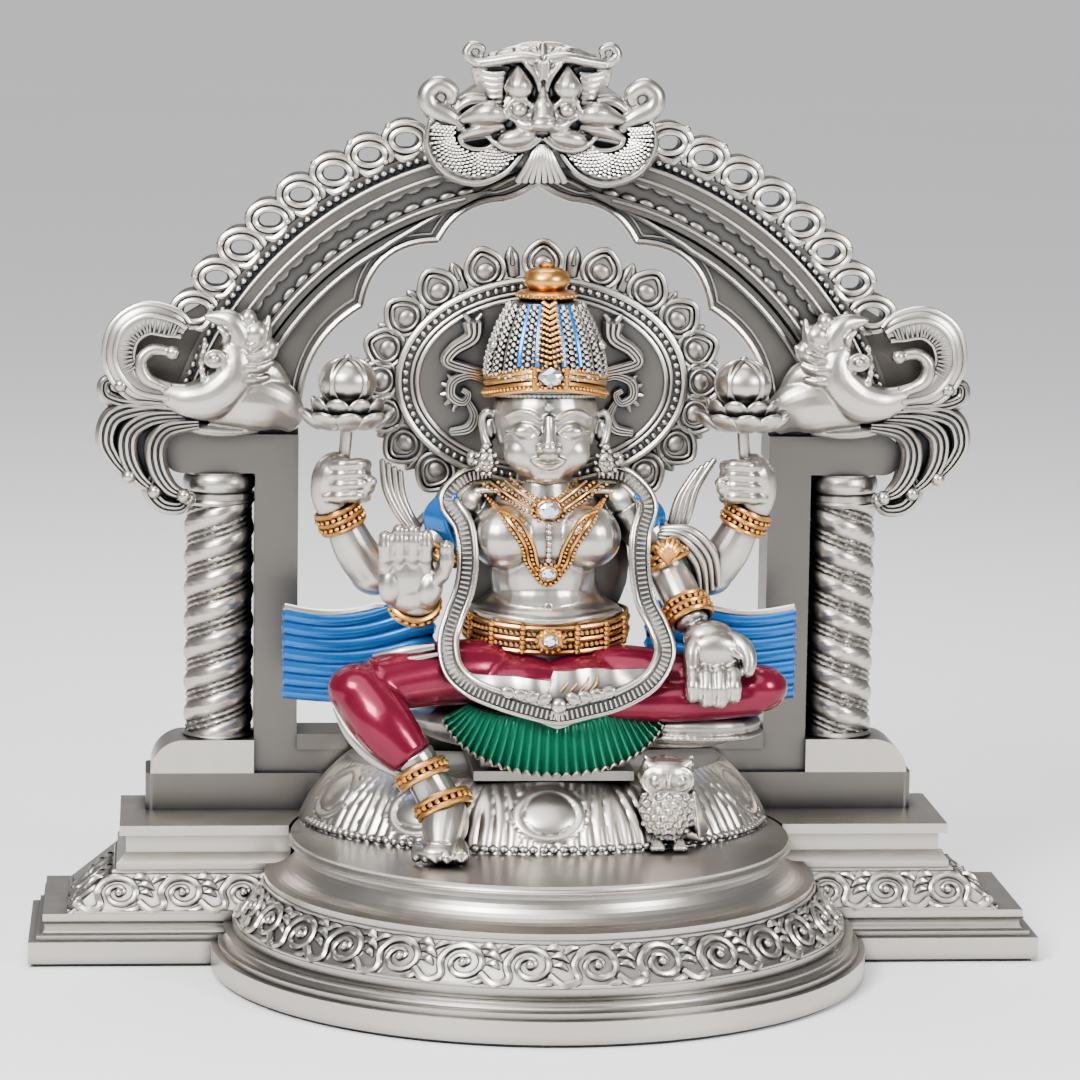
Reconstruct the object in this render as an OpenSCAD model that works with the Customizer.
// Seated goddess shrine statue: stepped base, columned arch frame, halo and figure.
// Millimetres. +X is the viewer's right, the viewer stands at -Y, +Z is up.
// The origin is under the middle of the whole statue, on the surface it stands on.

/* [Base] */
// Width of the plinth across both wings
base_w = 257; // [254:1:262]
// Radius of the half-round front of the plinth
drum_r = 82.7; // [82:0.1:84]
// Radius of the round platform
platform_r = 63.5; // [62:0.5:65]
// Height of the platform's top
platform_z = 34.5; // [34:0.5:36]
// Half width of the slab on top of the wings
slab_half = 105.7; // [104:0.1:107]
// Thickness of the felt pad
felt_t = 1; // [0.8:0.1:1.2]

/* [Frame] */
// Distance from the middle to the inner face of a post
post_in = 60.5; // [60:0.1:61]
// Width of a post
post_w = 11; // [10:0.5:12]
// Height of the top of the frame's arms
arm_top = 131.5; // [131:0.5:132]
// Radius of a column
column_r = 9; // [8:0.5:9]
// Distance from the middle to a column's axis
column_x = 80.6; // [80.6:0.1:81]

/* [Arch] */
// Height of the centre of the arch's circle
arch_cz = 111; // [110.5:0.5:111.5]
// Radius of the row of pierced rings
ring_row_r = 101.2; // [101:0.1:102]
// Pierced rings on each side
ring_count = 8; // [6:1:9]
// Height of the top of the lion crest
crest_top = 232.5; // [232:0.5:234]

/* [Figure] */
// Height of the halo's centre
halo_z = 147.3; // [146:0.1:148]
// Half width of the halo with its petals
halo_rx = 45; // [44:0.5:46]
// Half height of the halo with its petals
halo_rz = 34; // [33:0.5:35]
// Height of the chin
chin_z = 124; // [123:0.5:125]
// Height of the top of the gold headband
brow_z = 154; // [153:0.5:155]
// Distance from the middle to a held lotus
lotus_x = 49.4; // [49:0.1:50]

/* [Hidden] */

// Depths, all along Y
base_back = drum_r - 17.5;            // back of the wings, as far back as the drum reaches forward
drum_y = 17.5;                        // axis of the drum, in the plane of the wings' front
slab_front = drum_y + 8.5;            // front of the slab on the wings
foot_front = 46;                      // front of the frame's foot
post_front = 48;                      // front of the posts and the arch
post_back = 64;                       // back of the posts
column_y = 55;                        // axis of the columns
halo_y = 31;                          // front of the halo
body_y = 20;                          // middle of the figure
// Heights of the base's layers
plinth_z = 6.5;
torus_z = 11;
frieze_low = 13;
frieze_high = 22.5;
cove_low = 24.5;
slab_low = platform_z - 2.5;
// Heights of the frame's layers
foot_z = platform_z + 9.5;
cushion_z = 52.6;
sill_z = 54;
shaft_top = 114.6;
capital_top = arm_top - 10;
// Radii across the arch, from the inside out
cusp_out_r = 78.4;
band_in_r = 78;
band_out_r = 97;
arch_t = 12;
// Angle of the lowest pierced ring above the horizontal, and the angle from ring to ring
ring_first = 30.7;
ring_step = 5.7;
// Fixings
screw_r = 1.5;
screw_x = 90;
bolt_r = 2;
bolt_y = 16;
gap = 0.1;
// Finishes
silver = "#b8b2a8";
dark_silver = "#8f8c86";
gold = "#c9953c";
blue = "#3fa0dc";
magenta = "#a3124f";
green = "#12936a";

// ---------- helpers ----------
module limb(p, rp, q, rq, fn = 20) {
    hull() {
        translate(p) sphere(r = rp, $fn = fn);
        translate(q) sphere(r = rq, $fn = fn);
    }
}

module oval_ball(p, r, fn = 24) {
    translate(p) scale([1, r[1] / r[0], r[2] / r[0]]) sphere(r = r[0], $fn = fn);
}

// Upright slice with its face towards the viewer: the outline is drawn in X and Z
module slice(y0, t) {
    translate([0, y0 + t, 0]) rotate([90, 0, 0]) linear_extrude(height = t) children();
}

module slot2d(w, h) {
    circle(d = h, $fn = 32);
    translate([(w - h) / 2, 0]) circle(d = h, $fn = 32);
    translate([(h - w) / 2, 0]) circle(d = h, $fn = 32);
    square([w - h, h], center = true);
}

module oval_slab(p, rx, ry, h, fn = 48) {
    translate(p) scale([rx / ry, 1, 1]) cylinder(r = ry, h = h, $fn = fn);
}

module box_at(x0, x1, y0, y1, z0, z1) {
    translate([x0, y0, z0]) cube([x1 - x0, y1 - y0, z1 - z0]);
}

// Points of a circular arc from p to q that bulges by b to the left of the way
function arc(p, q, b, n) =
    let (d = q - p, c = norm(d), r = (c * c / 4 + b * b) / (2 * abs(b)), s = sign(b),
         m = (p + q) / 2, side = [-d[1], d[0]] / c, o = m - side * s * (r - abs(b)),
         a0 = atan2(p[1] - o[1], p[0] - o[0]), half = asin(min(1, c / 2 / r)), turn = -s * 2 * half)
    [for (i = [0:n]) o + r * [cos(a0 + turn * i / n), sin(a0 + turn * i / n)]];

// ---------- base ----------
module plan(inset) {
    difference() {
        union() {
            translate([-base_w / 2 + inset, drum_y + inset])
                square([base_w - 2 * inset, base_back - drum_y - 2 * inset]);
            translate([0, drum_y]) circle(r = drum_r - inset, $fn = 160);
        }
        translate([-base_w, base_back - inset]) square([2 * base_w, 2 * drum_r]);
    }
}

module screw_places() {
    for (side = [-1, 1]) for (x = [screw_x, screw_x - 24])
        translate([side * x, (foot_front + post_back) / 2, 0]) children();
}

module felt_pad() {
    color("#2b2b2e") linear_extrude(height = felt_t) plan(1.5);
}

module base_plinth() {
    color(silver) difference() {
        translate([0, 0, felt_t]) linear_extrude(height = plinth_z - felt_t) plan(0);
        screw_places() translate([0, 0, felt_t - gap]) cylinder(r = 3.2, h = 3, $fn = 32);
        screw_places() cylinder(r = screw_r + gap, h = plinth_z + 1, $fn = 32);
        translate([0, bolt_y, felt_t - gap]) cylinder(r = 4.2, h = 3.6, $fn = 32);
        translate([0, bolt_y, 0]) cylinder(r = bolt_r + gap, h = plinth_z + 1, $fn = 32);
    }
}

// Half profile of the round base: radius against height
module drum_profile() {
    polygon(concat(
        [[0, plinth_z], [drum_r - 1.8, plinth_z], [drum_r - 1.8, 8]],
        arc([drum_r - 2.6, 8], [drum_r - 3.2, torus_z], 1.4, 10),
        [[drum_r - 5.4, torus_z], [drum_r - 5.4, frieze_low], [drum_r - 6, frieze_low],
         [drum_r - 13.4, frieze_high], [drum_r - 13.4, cove_low]],
        arc([drum_r - 14.6, cove_low], [platform_r - 2.5, slab_low], 2.2, 10),
        [[0, slab_low]]));
}

module base_drum() {
    color(silver) difference() {
        translate([0, drum_y, 0]) rotate_extrude($fn = 160) drum_profile();
        translate([-drum_r, drum_y + 28, 0]) cube([2 * drum_r, drum_r, platform_z + 5]);
        translate([0, bolt_y, 0]) cylinder(r = bolt_r + gap, h = platform_z, $fn = 32);
    }
}

// Outline of a wing: k 0 runs across the ends, k 1 runs across the front
module wing_profile(edge, k) {
    low = k == 0 ? 10 : 4;
    high = k == 0 ? 22 : 10;
    polygon(concat(
        [[0, plinth_z], [edge - 2, plinth_z], [edge - 2, 7.8]],
        arc([edge - 2.6, 7.8], [edge - 3.2, torus_z], 1.4, 8),
        [[edge - 3.6, torus_z], [edge - 3.6, frieze_low], [edge - low, frieze_low],
         [edge - high, frieze_high], [edge - high, cove_low],
         [edge - high - 2.4, cove_low + 2.5], [edge - high - 2.4, slab_low], [0, slab_low]]));
}

module base_wing() {
    difference() {
        intersection() {
            translate([0, base_back, 0]) rotate([90, 0, 0]) linear_extrude(height = base_back - drum_y)
                wing_profile(base_w / 2, 0);
            rotate([90, 0, 90]) linear_extrude(height = base_w / 2)
                translate([base_back, 0]) mirror([1, 0]) wing_profile(base_back - drum_y, 1);
        }
        translate([-1, drum_y - 1, 0]) cube([39, 30, platform_z]);
        translate([0, drum_y, 0]) rotate_extrude($fn = 160) drum_profile();
        translate([0, drum_y, plinth_z - 1]) cylinder(r = platform_r + gap, h = platform_z, $fn = 160);
        screw_places() cylinder(r = screw_r + gap, h = platform_z + 1, $fn = 32);
    }
}

module base_wing_L() {
    color(silver) mirror([1, 0, 0]) base_wing();
}

module base_wing_R() {
    color(silver) base_wing();
}

module platform_disc() {
    color(silver) difference() {
        translate([0, drum_y, 0]) rotate_extrude($fn = 160) polygon(concat(
            [[0, slab_low], [platform_r - 0.8, slab_low]],
            arc([platform_r, slab_low + 0.8], [platform_r - 0.8, platform_z], 0.4, 6),
            [[0, platform_z]]));
        translate([-drum_r, slab_front + 19, 0]) cube([2 * drum_r, drum_r, platform_z + 5]);
        translate([0, bolt_y, 0]) cylinder(r = bolt_r + gap, h = platform_z + 1, $fn = 32);
    }
}

module platform_slab() {
    color(silver) difference() {
        box_at(-slab_half, slab_half, slab_front, base_back - 0.5, slab_low, platform_z);
        difference() {
            translate([0, drum_y, 0]) cylinder(r = platform_r + gap, h = 60, $fn = 160);
            translate([-drum_r, slab_front + 19 + gap, 0]) cube([2 * drum_r, drum_r, 60]);
        }
        screw_places() cylinder(r = screw_r + gap, h = platform_z + 1, $fn = 32);
    }
}

// ---------- frame ----------
module frame_foot() {
    color(silver) difference() {
        union() {
            box_at(-97.3, 97.3, foot_front, post_back, platform_z, foot_z);
            box_at(-99.3, 99.3, foot_front + 2, post_back - 2, platform_z, foot_z);
            for (x = [-97.3, 97.3], y = [foot_front + 2, post_back - 2])
                translate([x, y, platform_z]) cylinder(r = 2, h = foot_z - platform_z, $fn = 32);
        }
        for (side = [-1, 1]) translate([side * (post_in + post_w / 2), 56, foot_z - 4])
            translate([-3.1, -4.1, 0]) cube([6.2, 8.2, 5]);
        for (side = [-1, 1]) translate([side * column_x, column_y, foot_z - 4])
            cylinder(r = 2.6, h = 5, $fn = 32);
        screw_places() translate([0, 0, platform_z - 1]) cylinder(r = screw_r + 0.02, h = 6, $fn = 32);
    }
}

module frame_wall() {
    color(silver) {
        box_at(-post_in, post_in, post_front, post_back - 2, foot_z, sill_z - 4);
        box_at(-post_in, post_in, post_front - 1, post_back - 1, sill_z - 4, sill_z);
    }
}

module post() {
    box_at(post_in, post_in + post_w, post_front, post_back, foot_z, arm_top);
    translate([post_in + post_w / 2 - 3, 52, foot_z - 4]) cube([6, 8, 5]);
}

module post_L() {
    color(silver) mirror([1, 0, 0]) post();
}

module post_R() {
    color(silver) post();
}

module frame_arm() {
    mid = (capital_top + arm_top) / 2;
    half = (arm_top - capital_top) / 2;
    difference() {
        union() {
            box_at(post_in + post_w, 90, post_front, post_back, capital_top, arm_top);
            slice(post_front, post_back - post_front) translate([90, mid]) circle(r = half, $fn = 48);
        }
        translate([column_x, column_y, capital_top - 1]) cylinder(r = 2.6, h = 5, $fn = 32);
    }
}

module arm_L() {
    color(silver) mirror([1, 0, 0]) frame_arm();
}

module arm_R() {
    color(silver) frame_arm();
}

// Cushion foot of a column: flat under the post, rounded at its outer end
module cushion() {
    difference() {
        intersection() {
            box_at(post_in + post_w, 98, foot_front, post_back, foot_z, cushion_z);
            union() {
                slice(foot_front, post_back - foot_front) translate([98 - 8.6, foot_z]) circle(r = 8.6, $fn = 64);
                box_at(post_in + post_w, 98 - 8.6, foot_front, post_back, foot_z, cushion_z);
            }
        }
        translate([column_x, column_y, foot_z - 1]) cylinder(r = 2.6, h = 20, $fn = 32);
    }
}

module cushion_L() {
    color(silver) mirror([1, 0, 0]) cushion();
}

module cushion_R() {
    color(silver) cushion();
}

module column() {
    translate([column_x, column_y, 0]) {
        translate([0, 0, cushion_z]) cylinder(r = column_r, h = shaft_top - cushion_z, $fn = 64);
        translate([0, 0, foot_z - 3.8]) cylinder(r = 2.5, h = capital_top + 3.8 - foot_z + 3.8, $fn = 32);
    }
}

module column_L() {
    color(silver) mirror([1, 0, 0]) column();
}

module column_R() {
    color(silver) column();
}

module capital() {
    translate([column_x, column_y, 0]) difference() {
        rotate_extrude($fn = 64) polygon(concat(
            [[2.6, shaft_top], [column_r, shaft_top], [column_r, shaft_top + 1.4], [column_r - 0.6, shaft_top + 1.4]],
            arc([column_r - 0.6, shaft_top + 1.6], [column_r - 0.4, capital_top - 0.6], -0.8, 8),
            [[column_r - 0.1, capital_top], [2.6, capital_top]]));
        translate([-column_r - 1, -12, shaft_top - 1]) cube([0.6, 24, 9]);
    }
}

module capital_L() {
    color(silver) mirror([1, 0, 0]) capital();
}

module capital_R() {
    color(silver) capital();
}

// ---------- arch ----------
// Half of the arch's moulded band; its inner edge rises to a point under the crest
module arch_band() {
    difference() {
        round_band();
        slice(post_front - 1, arch_t + 2)
            polygon([[-1, 160], [-1, 199], [6.6, 196.8], [24, 188], [38, 179.6], [40, 160]]);
    }
}

module round_band() {
    intersection() {
        translate([0, post_front + arch_t, arch_cz]) rotate([90, 0, 0]) rotate_extrude(angle = 90, $fn = 180)
            polygon([[band_in_r, 0], [band_in_r, arch_t - 1.5], [80.6, arch_t - 1.5], [80.6, arch_t - 2.5],
                     [81.4, arch_t], [84, arch_t], [84, arch_t - 2], [88.8, arch_t - 2], [88.8, arch_t],
                     [93.8, arch_t], [93.8, arch_t - 3], [band_out_r, arch_t - 3], [band_out_r, 0]]);
        box_at(0.05, 110, 40, 70, arm_top, 250);
    }
}

module arch_band_L() {
    color(dark_silver) mirror([1, 0, 0]) arch_band();
}

module arch_band_R() {
    color(dark_silver) arch_band();
}

// Lower edge of the cusped plate, from the apex out and down to the frame's arm
cusp_edge = concat(
    arc([0.05, 196.2], [9, 191.9], -0.5, 4),
    arc([9, 191.9], [25.4, 181.2], 2.9, 10),
    arc([25.4, 181.2], [45, 164.4], 5.4, 10),
    arc([45, 164.4], [post_in, 140], 3.6, 10),
    [[post_in, arm_top]]);

module arch_cusp() {
    start = asin((arm_top - arch_cz) / cusp_out_r);
    outer = [for (i = [0:24]) let (a = start + (90 - start) * i / 24)
        [max(0.05, cusp_out_r * cos(a)), arch_cz + cusp_out_r * sin(a)]];
    slice(post_front + 3, 6)
        polygon(concat(cusp_edge, [for (p = outer) if (p[0] > 38.5) p], [[24, 187.8], [6.6, 196.6], [0.05, 198.8]]));
}

module arch_cusp_L() {
    color(dark_silver) mirror([1, 0, 0]) arch_cusp();
}

module arch_cusp_R() {
    color(dark_silver) arch_cusp();
}

// Row of pierced rings that stands on the band's outer edge
module arch_rings() {
    slice(post_front + 4, 6) translate([0, arch_cz]) difference() {
        for (i = [0:ring_count - 1]) rotate(ring_first + ring_step * i)
            translate([ring_row_r, 0]) circle(r = 5.6, $fn = 40);
        circle(r = band_out_r, $fn = 180);
        for (i = [0:ring_count - 1]) let (a = ring_first + ring_step * i)
            translate([ring_row_r * cos(a), ring_row_r * sin(a)]) slot2d(5.4, 3.8);
    }
}

module arch_rings_L() {
    color(silver) mirror([1, 0, 0]) arch_rings();
}

module arch_rings_R() {
    color(silver) arch_rings();
}

// Sea creature that rests on the frame's arm, with its plumes hanging round the arm's end
module makara_outline() {
    difference() {
        translate([93.5, 148.5]) circle(r = 13.8, $fn = 64);
        translate([90, 151.5]) circle(r = 9.8, $fn = 64);
        translate([74, 150]) square([16, 20]);
    }
    translate([76, 146]) circle(r = 8, $fn = 48);
    translate([62, arm_top + 0.05]) square([34, 8]);
    translate([107, 141.5]) circle(r = 3.4, $fn = 32);
    translate([80, 158]) circle(r = 3.6, $fn = 32);
    translate([75, 152]) circle(r = 4.4, $fn = 32);
    difference() {
        translate([94, 127]) circle(r = 15, $fn = 64);
        translate([88, 123]) circle(r = 11, $fn = 64);
        translate([70, 95]) square([20, 50]);
        translate([90, (capital_top + arm_top) / 2]) circle(r = 5.2, $fn = 48);
    }
    translate([104.2, 120]) circle(r = 2.4, $fn = 32);
    translate([92.6, 113.6]) circle(r = 2.6, $fn = 32);
}

module makara() {
    slice(post_front - 8, 8) makara_outline();
    slice(post_front, 3.9) difference() {
        makara_outline();
        translate([0, arch_cz]) circle(r = band_out_r + 0.1, $fn = 180);
        translate([60, capital_top - 0.05]) square([30, arm_top - capital_top + 0.1]);
        translate([90, (capital_top + arm_top) / 2]) circle(r = 5.2, $fn = 48);
        translate([column_x - column_r - 1, 80]) square([2 * column_r + 2, capital_top - 80]);
    }
}

module makara_L() {
    color(silver) mirror([1, 0, 0]) makara();
}

module makara_R() {
    color(silver) makara();
}

// ---------- crest ----------
module crest_face() {
    color(silver) {
        slice(post_front - 7, 7) {
            for (side = [-1, 1]) {
                difference() {
                    translate([side * 16, 206]) circle(r = 12, $fn = 48);
                    translate([side * 15, 205]) slot2d(7, 4);
                }
                translate([side * 26, 216.5]) circle(r = 4.4, $fn = 32);
            }
            translate([-16, 200]) square([32, 18]);
            translate([0, 200]) circle(r = 4.5, $fn = 32);
        }
        for (side = [-1, 1]) {
            oval_ball([side * 6.5, post_front - 8, 208.5], [6.2, 4.5, 3.4]);
            oval_ball([side * 5.8, post_front - 8, 218], [3.8, 4, 4.4]);
            oval_ball([side * 14, post_front - 7, 213.6], [5, 4, 3]);
        }
        oval_ball([0, post_front - 9, 214], [3.2, 4.5, 4.6]);
        slice(post_front, 8) difference() {
            translate([-13, 205]) square([26, 13]);
            translate([0, arch_cz]) circle(r = band_out_r + 0.05, $fn = 180);
        }
    }
}

module crest_crown() {
    color(silver) slice(post_front - 5, 11) {
        polygon(concat([[-11, 218.05], [11, 218.05], [15.5, 222], [17.5, 228.5]],
            arc([16, 228.5], [-16, 228.5], -(crest_top - 228.5), 16), [[-17.5, 228.5], [-15.5, 222]]));
        for (side = [-1, 1]) translate([side * 16.5, 228.6]) circle(r = 3, $fn = 32);
    }
}

// ---------- halo ----------
module halo_disc() {
    color(dark_silver) translate([0, halo_y + 3, halo_z]) rotate([90, 0, 0]) scale([1.4, 1, 1])
        cylinder(r = 26, h = 3, $fn = 64);
}

module halo_petals() {
    petals = 20;
    color(silver) difference() {
        union() {
            for (i = [0:petals - 1]) let (a = -125 + 360 / petals * (i + 0.5) + 35)
                translate([(halo_rx - 5) * sin(a), halo_y + 3, halo_z + (halo_rz - 4.2) * cos(a)])
                    rotate([90, 0, 0]) cylinder(r = 4.6, h = 2.6, $fn = 24);
            translate([0, halo_y + 3, halo_z]) rotate([90, 0, 0]) scale([1.4, 1, 1])
                cylinder(r = 28.5, h = 2.6, $fn = 64);
        }
        translate([0, halo_y + 5, halo_z]) rotate([90, 0, 0]) scale([1.4, 1, 1])
            cylinder(r = 26.05, h = 10, $fn = 64);
        box_at(-26, 26, halo_y - 5, halo_y + 10, halo_z - 60, halo_z - 23);
    }
}

// ---------- seat ----------
module lotus_base() {
    color(silver) difference() {
        hull() {
            oval_slab([0, 37.5, platform_z], 59, 46, 3);
            oval_slab([0, 37.5, 49], 47.5, 35, 1.8);
        }
        box_at(-80, 80, foot_front - gap, 100, 0, 100);
        translate([0, bolt_y, platform_z - 1]) cylinder(r = bolt_r + gap, h = 30, $fn = 32);
        owl_place();
    }
}

// Recess in the petals that the owl stands in
module owl_place() {
    box_at(21, 39, -20, 1, platform_z + 1, 60);
}

module seat_block() {
    color(dark_silver) difference() {
        union() {
            box_at(-18, 22, 2, foot_front - 2, 50.8, 53.2);
            box_at(-16, 20, 6, foot_front - 6, 53.2, 58);
        }
        translate([0, bolt_y, 50]) cylinder(r = bolt_r + 0.02, h = 6, $fn = 32);
    }
}

module seat_dish() {
    color(silver) hull() {
        oval_slab([0, 22, 65], 52, 19, 1.5);
        oval_slab([0, 22, 58.05], 26, 12, 1);
    }
}

module seat_leaf() {
    color(green) hull() {
        translate([-28, 0, 64]) sphere(r = 1.6, $fn = 16);
        translate([29, 0, 64]) sphere(r = 1.6, $fn = 16);
        translate([-17, -5, 57]) sphere(r = 1.6, $fn = 16);
        translate([18, -5, 57]) sphere(r = 1.6, $fn = 16);
        translate([0, -7, 54.6]) sphere(r = 1.6, $fn = 16);
        translate([0, 0, 65.5]) sphere(r = 1.6, $fn = 16);
    }
}

// ---------- body ----------
module torso() {
    color(silver) {
        hull() {
            oval_ball([0, body_y, 76], [22, 14, 9]);
            oval_ball([0, body_y, 86], [17, 12, 6]);
        }
        hull() {
            oval_ball([0, body_y, 84], [15, 11, 5]);
            oval_ball([0, body_y, 96], [12, 9.5, 5]);
        }
        hull() {
            oval_ball([0, body_y, 97], [12, 9.5, 5]);
            oval_ball([0, body_y, 113], [22, 10, 8]);
        }
        for (side = [-1, 1]) oval_ball([side * 11.2, body_y - 8, 111], [8.2, 7, 7.6]);
        limb([0, body_y, 118], 8, [0, body_y - 1, 127], 7.2);
        hull() {
            translate([0, halo_y - 4, 116]) rotate([-90, 0, 0]) cylinder(r = 9, h = 4, $fn = 32);
            translate([0, halo_y - 4, 134]) rotate([-90, 0, 0]) cylinder(r = 9, h = 4, $fn = 32);
        }
    }
}

module head() {
    color(silver) {
        hull() {
            oval_ball([0, body_y, 142], [13.4, 13, 12], 28);
            oval_ball([0, body_y - 2, chin_z + 8], [9.6, 10, 8], 28);
        }
        for (side = [-1, 1]) oval_ball([side * 14, body_y + 1, 137], [2.2, 3, 4.4], 16);
    }
}

module crown() {
    color(silver) translate([0, body_y + 1, 0]) {
        difference() {
            translate([0, 0, brow_z]) cylinder(r1 = 14.6, r2 = 9, h = 15, $fn = 64);
            translate([0, 0, brow_z + 14]) cylinder(r = 2.1, h = 2, $fn = 24);
        }
    }
}

module crown_band() {
    color(gold) translate([0, body_y + 1, 145.8]) difference() {
        cylinder(r = 15.4, h = brow_z - 145.8, $fn = 64);
        translate([0, 0, -1]) cylinder(r = 13, h = 20, $fn = 64);
    }
}

module crown_finial() {
    color(gold) translate([0, body_y + 1, brow_z + 15]) {
        cylinder(r = 7.4, h = 2.6, $fn = 48);
        translate([0, 0, 2.6]) cylinder(r = 4.4, h = 1.4, $fn = 48);
        translate([0, 0, 5.4]) sphere(r = 3, $fn = 32);
        translate([0, 0, -0.95]) cylinder(r = 2, h = 2, $fn = 24);
    }
}

module gem(p, rx, rz, t) {
    translate(p) rotate([90, 0, 0]) scale([rx / rz, 1, 1]) cylinder(r1 = rz, r2 = rz * 0.6, h = t, $fn = 16);
}

module gems() {
    color("white") {
        gem([0, body_y - 14.4, 150.5], 4.2, 3.4, 2);
        gem([0, body_y - 13.4, 143], 1.8, 1.5, 1);
        gem([0, 8.4, 117.5], 4.6, 3.6, 2);
        gem([0, 5.6, 101.5], 2.6, 2, 1.6);
        gem([1, 5.2, 86], 2.8, 2.2, 1.6);
    }
}

module earrings() {
    color(silver) for (side = [-1, 1]) {
        translate([side * 14.6, body_y - 2, 130]) sphere(r = 2.8, $fn = 32);
        translate([side * 15.4, body_y - 1, 125.5]) sphere(r = 2.2, $fn = 32);
    }
}

module necklace() {
    color(gold) {
        limb([-13, 14, 124], 1.4, [-8, 9.5, 119.4], 1.5, 12);
        limb([-8, 9.5, 119.4], 1.5, [0, 8.6, 116.6], 1.6, 12);
        limb([13, 14, 124], 1.4, [8, 9.5, 119.4], 1.5, 12);
        limb([8, 9.5, 119.4], 1.5, [0, 8.6, 116.6], 1.6, 12);
        for (side = [-1, 1]) limb([side * 9, 10, 117], 1.4, [side * 3.6, 6.6, 102.5], 1.5, 12);
        limb([-3.6, 6.6, 102.5], 1.5, [3.6, 6.6, 102.5], 1.5, 12);
    }
}

// ---------- arms ----------
module back_arm() {
    limb([23, body_y + 3, 115], 6.2, [38.5, body_y + 4, 101.5], 5.4);
    limb([38.5, body_y + 4, 101.5], 5.4, [50.5, body_y, 115.5], 4.2);
    limb([50.5, body_y, 115.5], 4.2, [50, body_y - 2, 127], 4.6);
    limb([50, body_y - 2, 127], 4, [46, body_y - 5, 132], 2.2);
}

module back_arm_L() {
    color(silver) mirror([1, 0, 0]) back_arm();
}

module back_arm_R() {
    color(silver) back_arm();
}

module front_arm_L() {
    color(silver) {
        limb([-24, body_y - 2, 114.5], 6.6, [-30, body_y - 4, 97], 5.4);
        limb([-30, body_y - 4, 97], 5.4, [-33, 9, 95], 5);
        hull() {
            oval_ball([-33.4, 5, 98], [6, 4.2, 5]);
            oval_ball([-33.4, 4, 106], [8.4, 3.4, 4]);
        }
        hull() {
            oval_ball([-35, 3.4, 106], [7.4, 3, 3]);
            oval_ball([-35, 2.6, 112.4], [7, 2.6, 2.6]);
        }
    }
}

module front_arm_R() {
    color(silver) {
        limb([24, body_y - 2, 114.5], 6.6, [32, body_y - 5, 99], 5.2);
        limb([32, body_y - 5, 99], 5.2, [37, 5, 90], 4.4);
        hull() {
            oval_ball([38.5, 3, 89], [5, 4, 4]);
            oval_ball([42.2, -1, 83], [8, 3.4, 5]);
        }
        hull() {
            oval_ball([42.2, -1.6, 82], [7.6, 3, 4]);
            oval_ball([42, -5.4, 73.4], [6.4, 2.4, 3]);
        }
    }
}

module bangle(p, q, r) {
    d = q - p;
    translate(p) rotate([0, acos(d[2] / norm(d)), atan2(d[1], d[0])])
        difference() {
            cylinder(r = r, h = norm(d), $fn = 32);
            translate([0, 0, -1]) cylinder(r = r - 1.2, h = norm(d) + 2, $fn = 32);
        }
}

module bangles() {
    color(gold) {
        bangle([-48.6, body_y + 0.6, 113.2], [-50.6, body_y, 117], 6);
        bangle([48.6, body_y + 0.6, 113.2], [50.6, body_y, 117], 6);
        bangle([29, body_y - 4, 105], [31, body_y - 4.6, 101], 6.8);
        bangle([34.4, 9.6, 94.6], [36, 7, 91.8], 5.8);
        bangle([-31.2, 13, 96.2], [-32.4, 9.4, 95.4], 6.2);
        bangle([-29.6, -9.6, 54.4], [-28, -10.6, 51.6], 6.2);
        bangle([-27.4, -11, 49.8], [-26.6, -11.6, 47.4], 6.2);
    }
}

module belt() {
    color(gold) translate([0, body_y, 84.6]) difference() {
        scale([1.35, 1, 1]) cylinder(r = 14.6, h = 6, $fn = 48);
        translate([0, 0, -1]) scale([1.3, 1, 1]) cylinder(r = 13.2, h = 8, $fn = 48);
    }
}

// ---------- legs ----------
module leg_L() {
    color(magenta) {
        limb([-14, body_y - 3, 78], 9.4, [-46, 1, 74.5], 7.4);
        limb([-46, 1, 74.5], 7.8, [-32, -7, 58.5], 6);
    }
}

module leg_R() {
    color(magenta) {
        limb([14, body_y - 3, 76], 9, [53.6, 9, 74.4], 6.4);
        limb([53.6, 7, 74.2], 6, [22, 3, 70.5], 6);
    }
}

module foot_L() {
    color(silver) {
        limb([-31, -8, 56], 5.2, [-27.5, -11, 46.5], 4.8);
        limb([-27.5, -11, 45.5], 5, [-25.6, -16, 38.6], 4);
        hull() {
            oval_ball([-26, -15, 38], [5, 4, 3.4], 20);
            oval_ball([-24.4, -19, 36.4], [5.4, 3, 1.8], 20);
        }
    }
}

// Beaded border that falls from both shoulders and meets in a point on the lap
sash_path = [[-16.5, 13, 123], [-20.6, 8.5, 108], [-25, 5, 94], [-27.6, 1, 85], [-24, -3, 77], [-14, -5.6, 70.6],
             [0.6, -6.6, 67.4], [15, -5.6, 70.6], [26, -3, 77], [30, 1, 84], [27, 5, 94], [24, 8.5, 108], [17.5, 13, 123]];

module apron_sash() {
    color(silver) {
        for (i = [0:len(sash_path) - 2]) limb(sash_path[i], 1.9, sash_path[i + 1], 1.9, 10);
        hull() {
            translate([-22, 1, 80]) sphere(r = 1.6, $fn = 12);
            translate([24, 1, 80]) sphere(r = 1.6, $fn = 12);
            translate([-13, -4.6, 71.6]) sphere(r = 1.6, $fn = 12);
            translate([14, -4.6, 71.6]) sphere(r = 1.6, $fn = 12);
            translate([0.6, -5.8, 68.6]) sphere(r = 1.6, $fn = 12);
            translate([0, 4, 83]) sphere(r = 1.6, $fn = 12);
        }
    }
}

module drape_outline() {
    polygon(concat(arc([27, 87.6], [64.6, 89.6], 3, 10), [[64.6, 67.8], [44, 68.4], [27, 76]]));
}

module drape_L() {
    color(blue) mirror([1, 0, 0]) slice(23, 5) drape_outline();
}

module drape_R() {
    color(blue) slice(23, 5) drape_outline();
}

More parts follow.
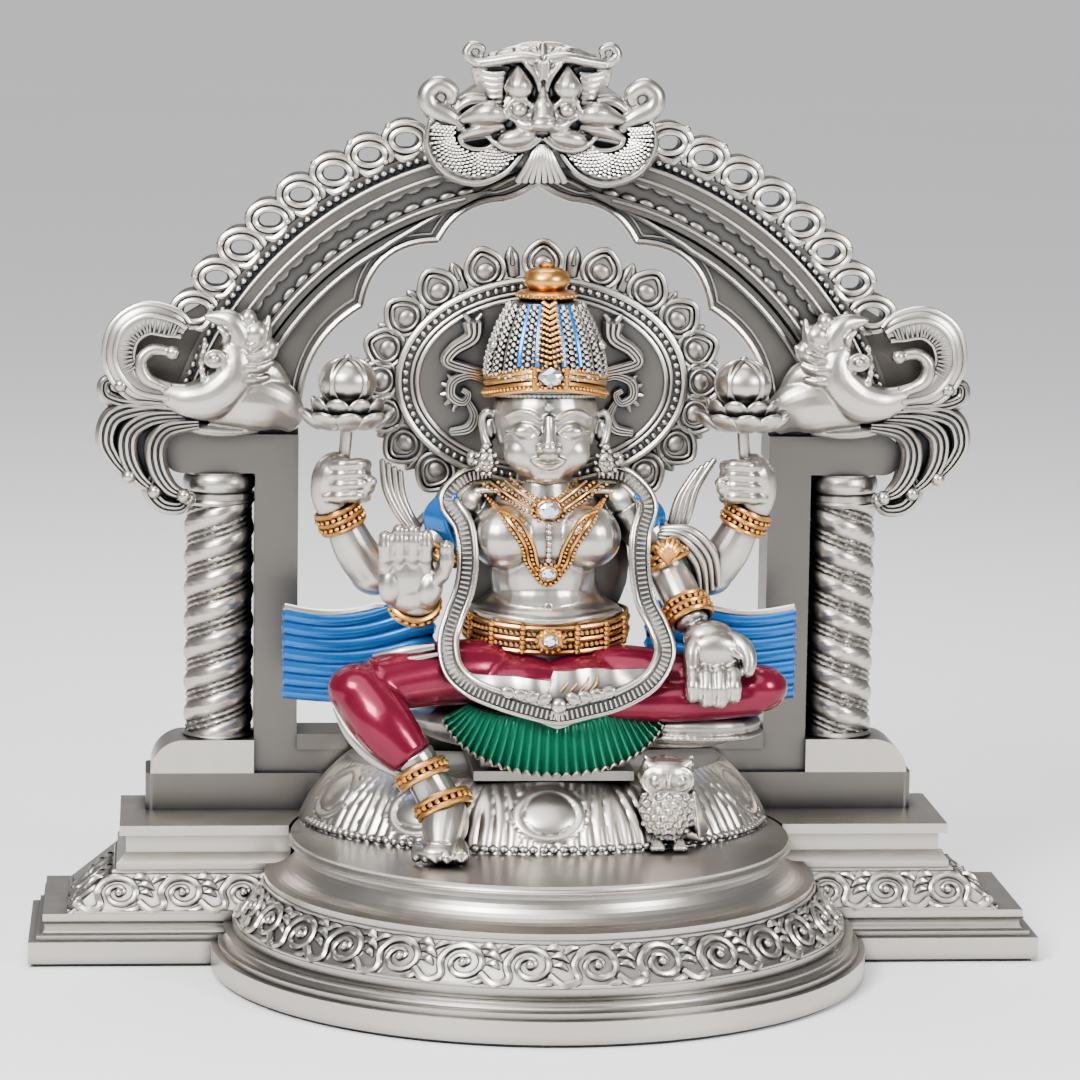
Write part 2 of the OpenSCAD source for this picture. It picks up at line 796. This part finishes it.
// ---------- what the back hands hold ----------
module held_lotus() {
    translate([lotus_x, body_y - 2.5, 0]) {
        translate([0, 0, 130]) cylinder(r = 1.6, h = 8.4, $fn = 24);
        translate([0, 0, 138.2]) scale([1.56, 1, 1]) cylinder(r1 = 4.5, r2 = 8, h = 3.4, $fn = 40);
        oval_ball([0, 0, 148.2], [7.3, 7.3, 6.6]);
        translate([0, 0, 141.5]) cylinder(r1 = 3, r2 = 6, h = 3, $fn = 32);
    }
}

module lotus_L() {
    color(silver) mirror([1, 0, 0]) held_lotus();
}

module lotus_R() {
    color(silver) held_lotus();
}

module owl() {
    color(silver) {
        hull() {
            oval_ball([30, -3, 44], [8.4, 6, 7.4], 20);
            oval_ball([30, -2.4, 52], [8, 5.4, 5], 20);
        }
        box_at(22.6, 37.4, -6.4, 0.4, 50, 57.6);
        box_at(25, 35, -8, 0.4, platform_z, 38.4);
    }
}

// ---------- fixings ----------
module frame_screws() {
    color("#b0a070") screw_places() {
        translate([0, 0, felt_t]) cylinder(r = 3, h = 2.6, $fn = 32);
        translate([0, 0, felt_t]) cylinder(r = screw_r, h = platform_z + 4.8 - felt_t, $fn = 32);
    }
}

module figure_bolt() {
    color("#b0a070") translate([0, bolt_y, felt_t]) {
        cylinder(r = 4, h = 3, $fn = 32);
        cylinder(r = bolt_r, h = 55.6 - felt_t, $fn = 32);
    }
}

felt_pad();
base_plinth();
base_drum();
base_wing_L();
base_wing_R();
platform_disc();
platform_slab();
frame_foot();
frame_wall();
post_L();
post_R();
arm_L();
arm_R();
cushion_L();
cushion_R();
column_L();
column_R();
capital_L();
capital_R();
arch_band_L();
arch_band_R();
arch_cusp_L();
arch_cusp_R();
arch_rings_L();
arch_rings_R();
makara_L();
makara_R();
crest_face();
crest_crown();
halo_disc();
halo_petals();
lotus_base();
seat_dish();
seat_block();
seat_leaf();
torso();
head();
crown();
crown_band();
crown_finial();
gems();
earrings();
necklace();
back_arm_L();
back_arm_R();
front_arm_L();
front_arm_R();
bangles();
belt();
leg_L();
leg_R();
foot_L();
apron_sash();
drape_L();
drape_R();
lotus_L();
lotus_R();
owl();
frame_screws();
figure_bolt();
